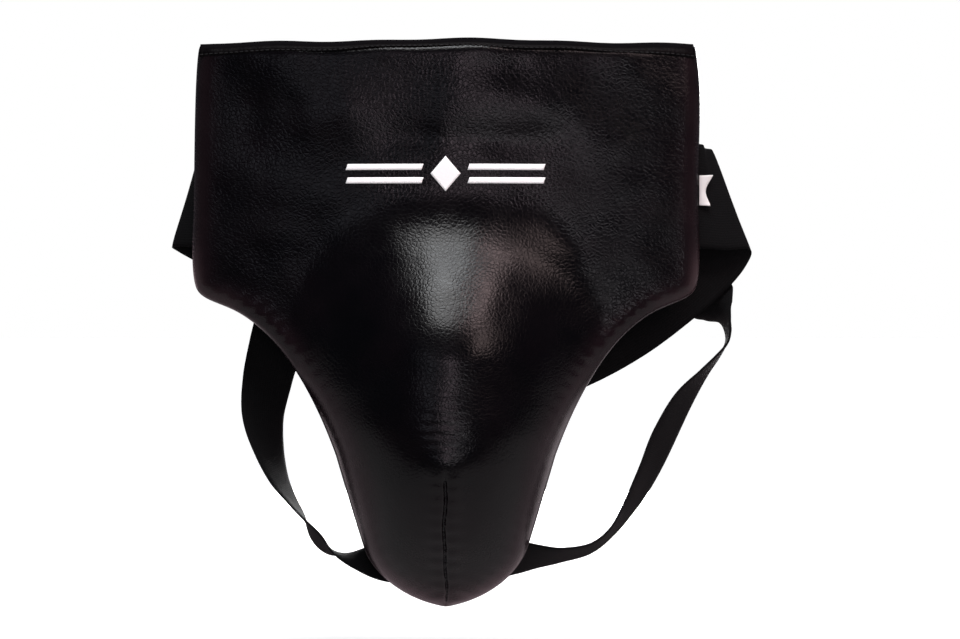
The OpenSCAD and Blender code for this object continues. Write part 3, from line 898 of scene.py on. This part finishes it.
def build_facing():
    """The folded strip, from its lower edge in front, over the top, to its lower edge behind.
    Gives back the lines that run along it."""
    x = STRIP_X
    inside = np.clip(x, -STRIP_REACH, STRIP_REACH)
    edge_z = np.full_like(x, TOP_Z)
    top = TOP_Z + top_wave(inside, edge_z)
    h = 3.6 + 2.9 * (np.abs(x) / 140) ** 2 + 0.5 * np.sin(x / 17)

    def front(drop):
        z = edge_z - drop
        edge = np.maximum(half_width(z) - np.abs(inside), 0.5)
        return back_plane(x, z) - thickness(inside, z, edge)

    back = back_plane(x, edge_z)
    rows = [
        (front(h + 0.4) + 0.4, top - h - 0.4), (front(h) - 0.5, top - h + 0.1),
        (front(h * 0.7) - 1.05, top - h * 0.62), (front(h * 0.3) - 1.1, top - h * 0.25),
        (front(0) - 0.6, top + 0.6), (mix(front(0), back, 0.3), top + 1.5),
        (mix(front(0), back, 0.75), top + 1.4), (back + 0.6, top + 0.4), (back + 1.2, top - 1.8),
        (back + 1.1, top - 5.4), (back + 0.5, top - 6.6), (back - 0.2, top - 6.8),
    ]
    outer = skewed(catmull([np.stack([x, y, z], 1) for y, z in rows], 3))
    outer[..., 1] += 0.096 * wave(x, 9.3)
    n = len(outer)
    inner = outer.copy()
    inner[..., 1] += np.linspace(0.7, -0.7, n)[:, None]
    inner[..., 2] -= 0.5
    verts, faces = closed_slab(inner, outer)
    # Paler towards the fold over the top.
    wear_and_rim_light = 0.35 + 0.3 * np.sin(np.linspace(0, math.pi, n))
    marks = {"wear_and_rim_light": both_sides(np.repeat(wear_and_rim_light[:, None], len(x), 1))}
    obj = add_mesh("top_facing_strip", verts, faces, marks)
    dress(obj, FACING, nodes=("top_binding",))
    return outer


facing_lines = build_facing()

# ---------------------------------------- thread
THREAD_RINGS = 6
THREAD_SIDES = 8
STITCH_GAP = 0.28           # share of the pitch where the thread is under the cloth


def one_stitch(centre, radius):
    """A short rod of thread through a line of points, thinner at both ends."""
    along = centre[-1] - centre[0]
    along /= max(1e-9, np.linalg.norm(along))
    other = np.array([0, 1, 0]) if abs(along[1]) < 0.8 else np.array([1, 0, 0])
    u = np.cross(along, other)
    u /= np.linalg.norm(u)
    v = np.cross(along, u)
    verts, faces = [], []
    for i, share in enumerate(np.linspace(0.05, 0.95, THREAD_RINGS)):
        r = radius * (0.45 + 0.55 * math.sin(math.pi * share) ** 0.5)
        for q in range(THREAD_SIDES):
            a = 2 * math.pi * q / THREAD_SIDES
            verts.append(centre[i] + r * (math.cos(a) * u + math.sin(a) * v))
    for i in range(THREAD_RINGS - 1):
        for q in range(THREAD_SIDES):
            a = i * THREAD_SIDES + q
            b = i * THREAD_SIDES + (q + 1) % THREAD_SIDES
            faces.append((a, b, b + THREAD_SIDES, a + THREAD_SIDES))
    faces.append(tuple(reversed(range(THREAD_SIDES))))
    faces.append(tuple(range((THREAD_RINGS - 1) * THREAD_SIDES, THREAD_RINGS * THREAD_SIDES)))
    return verts, faces


def stitch_mesh(name, runs, body, nodes=(), radius=0.36, pitch=3.4, lift=0.0):
    """Separate stitches along each run of points, lifted towards the wearer."""
    stitches = []
    for run in runs:
        run = np.asarray(run, float) + [0, lift, 0]
        s = run_along(run)
        n = max(1, int(round(s[-1] / pitch)))
        for k in range(n):
            start = (k + STITCH_GAP / 2) * s[-1] / n
            end = (k + 1 - STITCH_GAP / 2) * s[-1] / n
            at = np.linspace(start, end, THREAD_RINGS)
            centre = np.stack([np.interp(at, s, run[:, axis]) for axis in range(3)], 1)
            stitches.append(one_stitch(centre, radius))
    verts, faces = joined(stitches)
    dress(add_mesh(name, verts, faces), THREAD, body, nodes)


def dart_run():
    z = np.linspace(-158, -233, 120)
    x = dart_x(z)
    return np.stack([x, front_surface(x, z) - 0.1, z], 1)


def hem_run():
    """The seam that holds the hem on the back, stopping short of both top corners."""
    points, inward, lift = panel_border()
    x, z = (points + inward * 4.9).T
    y = back_plane(x, z) + PAD * EDGE_SHARE * 0.1 + 0.15
    return skewed(np.stack([x, y, z + lift], 1)[6:-6])


SEAM_LINE = 4               # the facing strip's line that its seam follows
stitch_mesh("dart_seam_thread", [dart_run()], "guard", ("dart_stitching",), radius=0.38, pitch=3.2)
stitch_mesh("top_seam_thread", [facing_lines[SEAM_LINE]], "guard", ("top_stitching",),
            radius=0.3, pitch=3.0, lift=-0.15)
stitch_mesh("hem_thread", [hem_run()], "guard", radius=0.32)


# ---------------------------------------- printed mark
BAR_H = 3.4
BAR_FROM = 13.0             # the bars' two ends, from the middle
BAR_TO = 56.0
BAR_SLANT = 0.6


def flat_patch(corners, nx, ny):
    """Grid of points (x, z) between four corners."""
    c = np.array(corners, float)
    s = np.linspace(0, 1, nx)[None, :, None]
    t = np.linspace(0, 1, ny)[:, None, None]
    return (1 - t) * ((1 - s) * c[0] + s * c[1]) + t * ((1 - s) * c[3] + s * c[2])


def build_print():
    """Two pairs of slanted bars with a lozenge between them."""
    patches = []
    for low_x in (-BAR_TO, BAR_FROM):
        high_x = low_x + BAR_TO - BAR_FROM
        for z in (5.0, 12.6):
            corners = [
                (low_x - BAR_SLANT, z), (high_x - BAR_SLANT, z),
                (high_x + BAR_SLANT, z + BAR_H), (low_x + BAR_SLANT, z + BAR_H),
            ]
            patches.append(flat_patch(corners, 36, 4))
    patches.append(flat_patch([(0, 0.5), (8.5, 10.5), (0, 20.5), (-8.5, 10.5)], 12, 12))
    slabs = []
    for patch in patches:
        x, z = patch[..., 0], patch[..., 1]
        y = front_surface(x, z)
        lifted = z + top_wave(x, z)
        slabs.append(closed_slab(np.stack([x, y - 0.16, lifted], 2), np.stack([x, y + 0.1, lifted], 2)))
    verts, faces = joined(slabs)
    obj = add_mesh("print_mark_ink", verts, faces)
    dress(obj, INK, nodes=("print_mark",))


build_print()

# ---------------------------------------- elastic
# Waistband from the right side seam, round its fold, across the back and to the left seam:
# centre [x, y, z], then the half-width vector's [x, z]
BAND_Y = 31.5
WAIST = [
    [131, 14.6, -1, 0, 30], [146.5, 18, -1, 0, 30], [155, 20.5, -2.5, -6, 29.4],
    [164.5, 26, -4, -11.5, 27.7], [153.5, 31, -19, -20, 22.4], [139.5, BAND_Y, -35.5, -23, 19.3],
    [125.5, BAND_Y, -47.5, -20.5, 22], [101, BAND_Y, -66, -16, 25.5],
    [69, BAND_Y, -84, -14.5, 26], [34, BAND_Y, -97, -7.5, 29],
    [0, BAND_Y, -101, 0, 30],
    [-30, BAND_Y, -80, 13, 27], [-60, BAND_Y, -57.5, 16, 25.5], [-95.5, BAND_Y, -34.5, 16, 25.5],
    [-126, BAND_Y, -15, 16, 25.5], [-143, 30.5, -5.5, 12, 27.5], [-149.5, 26, -1, 8.5, 29],
    [-142, 18.6, 0, 3, 30], [-131, 14.6, 0, 0, 30],
]
WAIST_STEPS = 40
WAIST_LINE = catmull(WAIST, WAIST_STEPS)


def ribbon(name, centre, half, thick, across_n, sag, seed):
    """A tape along centre points and half-width vectors, a little wavy, with rounded edges. Gives
    back its length and width too."""
    along = np.gradient(centre, axis=0)
    normal = np.cross(along, half)
    normal /= np.linalg.norm(normal, axis=1)[:, None]
    width = np.linalg.norm(half, axis=1) * 2
    run = run_along(centre)
    v = np.linspace(-1, 1, across_n + 1)
    v = np.sign(v) * (1 - (1 - np.abs(v)) ** 1.25)  # closer together at the edges
    t = thick / 2 * (1 - 0.75 * np.abs(v) ** 12)
    bend = np.array([[sag * noise.noise((a / 22, b * 0.8, seed)) for b in v] for a in run])
    middle = centre[:, None] + half[:, None] * v[None, :, None]
    top = middle + normal[:, None] * (t[None, :] + bend)[..., None]
    low = middle + normal[:, None] * (-t[None, :] + bend)[..., None]
    verts, faces = closed_slab(top, low)
    marks = {
        "along": both_sides(np.repeat(run[:, None], len(v), 1)),
        "across": both_sides(v[None] * width[:, None] / 2),
    }
    return add_mesh(name, verts, faces, marks), run[-1], width[0]


def tape(name, centre, half, body, nodes, start, end, **shape):
    """An elastic that is sewn to the guard. Its body, start and end are not used."""
    obj, length, width = ribbon(name, centre, half, **shape)
    obj.data.materials.append(ELASTIC)
    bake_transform(obj)
    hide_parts(*nodes)


def waist_piece(name, u0, u1, n, nodes, start, end):
    """The waistband between two stations of WAIST."""
    at = np.linspace(u0, u1, n) * WAIST_STEPS
    known = np.arange(len(WAIST_LINE))
    x, y, z, half_x, half_z = [np.interp(at, known, column) for column in WAIST_LINE.T]
    centre = np.stack([x, y, z], 1)
    half = np.stack([half_x, np.zeros(n), half_z], 1)
    tape(name, centre, half, "waistband", nodes, start, end,
         thick=1.6, across_n=14, sag=0.5, seed=2.0 + u0)


waist_piece("waistband_right_half", 0, 9.995, 200, ("waistband_right_side", "waistband_back"),
            (126, BAND_Y, -58), (88, BAND_Y, -80))
waist_piece("waistband_left_half", 10.005, 18, 170, ("waistband_left_side",),
            (-74, BAND_Y, -52), (-40, BAND_Y, -74))

# Leg straps: [x, z, twist in degrees] from the waistband to the back of the nose
RIGHT_LEG = [
    [147, -36, 0], [150.3, -52, -5], [153.2, -60, 11], [158, -67, 54], [162, -72.5, 80], [163.8, -79, 88],
    [163, -86, 93], [158, -93.5, 98], [149.5, -103.5, 104], [137.5, -119.5, 117],
    [127, -139, 121], [118, -159, 118], [108, -178, 111], [97, -194, 103], [84, -204.5, 105],
    [67, -208.6, 110], [52, -209.5, 122], [38, -209.5, 138], [15.5, -208, 168],
]
LEFT_LEG = [
    [-92, -46, 0], [-96, -71, -6], [-99.7, -88, 8], [-104, -107, 24], [-106.5, -127, 41],
    [-103, -148, 60], [-97, -165, 74], [-90, -177, 84], [-83.5, -186.5, 92],
    [-76.5, -197.5, 106], [-69, -205, 104], [-60.5, -208, 90], [-50, -209, 70], [-38.5, -209, 44],
    [-15.5, -208, -14],
]
LEG_HALF_W = 15.3
LEG_BOW = 6
TAB_Z = -208.0              # height where both straps meet behind the nose


def leg_strap(name, points, plane, side, nodes, start, end):
    """A strap that hangs in an upright sheet between two [x, y], bowed back between them."""
    x, z, twist = np.array(points, float).T
    share = (x - plane[0][0]) / (plane[1][0] - plane[0][0])
    y = mix(plane[0][1], plane[1][1], share) + LEG_BOW * 4 * share * (1 - share)
    y[0] = 33.6             # flat on the waistband where it is sewn
    y[1] = max(y[1], 34.8)
    under_patch = [side * 4, 10.3, TAB_Z, twist[-1]]
    rows = catmull(np.vstack([np.stack([x, y, z, twist], 1), under_patch]), 16)
    centre = rows[:, :3]
    along = np.gradient(centre, axis=0)
    along /= np.linalg.norm(along, axis=1)[:, None]
    outward = side * np.stack([-along[:, 2], np.zeros(len(along)), along[:, 0]], 1)
    outward /= np.linalg.norm(outward, axis=1)[:, None]
    turn = np.radians(rows[:, 3])[:, None]
    half = LEG_HALF_W * (np.cos(turn) * outward + np.sin(turn) * np.cross(along, outward) * side)
    tape(name, centre, half, name.replace("_web", ""), nodes, start, end,
         thick=1.5, across_n=10, sag=0.35, seed=6.0 + side)


# Each strap turns about the line between its sewn ends. The blend runs down and out from there.
leg_strap("leg_strap_right_web", RIGHT_LEG, [[15.5, 10.5], [153, 37]], 1,
          ("leg_strap_right", "leg_strap_right_top"), (80.4, 21, -132.3), (102.5, 21, -152.6))
leg_strap("leg_strap_left_web", LEFT_LEG, [[-15.5, 10.5], [-96, 34.8]], -1,
          ("leg_strap_left", "leg_strap_left_top"), (-57.5, 21, -137.2), (-82, 21, -150.5))


# ---------------------------------------- crotch tab and anchor patch
def nose_plate(name, half_x, half_z, lift, thick, round_edge, material, node):
    """A plate with soft edges behind the nose, lifted off the back by lift(z)."""
    nx, nz = 24, 48
    x = np.linspace(-half_x, half_x, nx)[None].repeat(nz, 0)
    z = np.linspace(TAB_Z - half_z, TAB_Z + half_z, nz)[:, None].repeat(nx, 1)
    edge = np.minimum(half_x - np.abs(x), half_z - np.abs(z - TAB_Z))
    loft = thick * mix(0.35, 1, rolled(edge, round_edge))
    base = back_plane(x, z) + lift(z)
    verts, faces = closed_slab(np.stack([x, base, z], 2), np.stack([x, base + loft, z], 2))
    marks = {"wear_and_rim_light": both_sides(bump(edge, 2.5)) * 0.6, "along": both_sides(x), "across": both_sides(z)}
    obj = add_mesh(name, verts, faces, marks)
    dress(obj, material, nodes=(node,))


TAB_HALF_H = 15.0


def tab_lift(z):
    return np.full_like(z, 1.0)


def patch_lift(z):
    """Over the tab, and down to the back above and below it."""
    return mix(3.1, 0.7, smooth((np.abs(z - TAB_Z) - TAB_HALF_H) / 4))


nose_plate("crotch_tab_web", 11, TAB_HALF_H, tab_lift, 1.6, 0.8, ELASTIC, "crotch_tab")
nose_plate("anchor_patch_leather", 10.5, 21, patch_lift, 1.3, 2.0, FACING, "anchor_patch")


def anchor_runs():
    """A box of stitches round the patch and a cross inside it."""
    w, h = 8.3, 18.5
    cross_w, cross_h = 7, 13
    lines = [
        ((-w, -h), (w, -h)), ((-w, h), (w, h)), ((-w, -h), (-w, h)), ((w, -h), (w, h)),
        ((-cross_w, -cross_h), (cross_w, cross_h)), ((cross_w, -cross_h), (-cross_w, cross_h)),
    ]
    runs = []
    for start, end in lines:
        x = np.linspace(start[0], end[0], 40)
        z = TAB_Z + np.linspace(start[1], end[1], 40)
        runs.append(np.stack([x, back_plane(x, z) + patch_lift(z) + 1.45, z], 1))
    return runs


stitch_mesh("anchor_thread", anchor_runs(), "guard", ("anchor_stitching",), radius=0.34, pitch=2.8)


# ---------------------------------------- seams of the elastic
def band_runs(stations):
    """Lines straight across the waistband, on the wearer's face."""
    runs = []
    for u in stations:
        x, y, z, half_x, half_z = WAIST_LINE[round(u * WAIST_STEPS)]
        across = np.linspace(-0.92, 0.92, 30)[:, None]
        runs.append(np.array([x, y + 1.1, z]) + np.array([half_x, 0, half_z]) * across)
    return runs


def leg_bar_runs():
    """Four rows across the sewn end of each leg strap."""
    runs = []
    for points in (RIGHT_LEG, LEFT_LEG):
        top = np.array(points[0][:2], float)
        low = np.array(points[1][:2], float)
        down = (low - top) / np.linalg.norm(low - top)
        across = np.array([-down[1], down[0]])
        for distance in (3.5, 6.0, 15.0, 17.5):
            x, z = (top + down * distance + across * np.linspace(-12.5, 12.5, 30)[:, None]).T
            runs.append(np.stack([x, np.full(30, 34.75 + 0.03 * distance), z], 1))
    return runs


stitch_mesh("side_seam_thread", band_runs([0.15, 0.45, 17.62, 17.85]), "guard", ("side_seam_stitching",))
stitch_mesh("center_back_thread", band_runs([9.9, 10.1]), "waistband", ("center_back_stitching",), lift=0.2)
stitch_mesh("leg_strap_thread", leg_bar_runs(), "guard", ("leg_strap_stitching",), pitch=2.6)


# ---------------------------------------- care label
LABEL_X = 145.6             # where it is caught in the right side seam
LABEL_Z = 2.2
LABEL_HALF_H = 8.6
LABEL_REACH = 8


def build_label():
    """A folded ribbon with a notched, curling outer edge, in front of the waistband."""
    v = np.linspace(-1, 1, 26)[:, None]
    s = np.linspace(0, 1, 14)[None]
    x = LABEL_X + s * LABEL_REACH * (0.9 + 0.1 * v - 0.42 * np.cos(math.pi / 2 * v) ** 1.4)
    z = LABEL_Z + v * LABEL_HALF_H * (1 + 0.04 * s)
    band = WAIST_LINE[:3 * WAIST_STEPS]
    curl = 1.3 * s ** 2 * np.abs(v) ** 1.5 + 0.4 * np.sin(s * math.pi)
    y = np.interp(x, band[:, 0], band[:, 1]) - 1.6 - curl
    loft = 0.45 + 0.25 * np.sin(s * math.pi)
    outer = np.stack([x, y - loft, z], 2)
    inner = np.stack([x, y, z], 2)
    verts, faces = closed_slab(outer, inner)
    obj = add_mesh("care_label_satin", verts, faces)
    dress(obj, SATIN, "care_label", ("care_label",))


build_label()
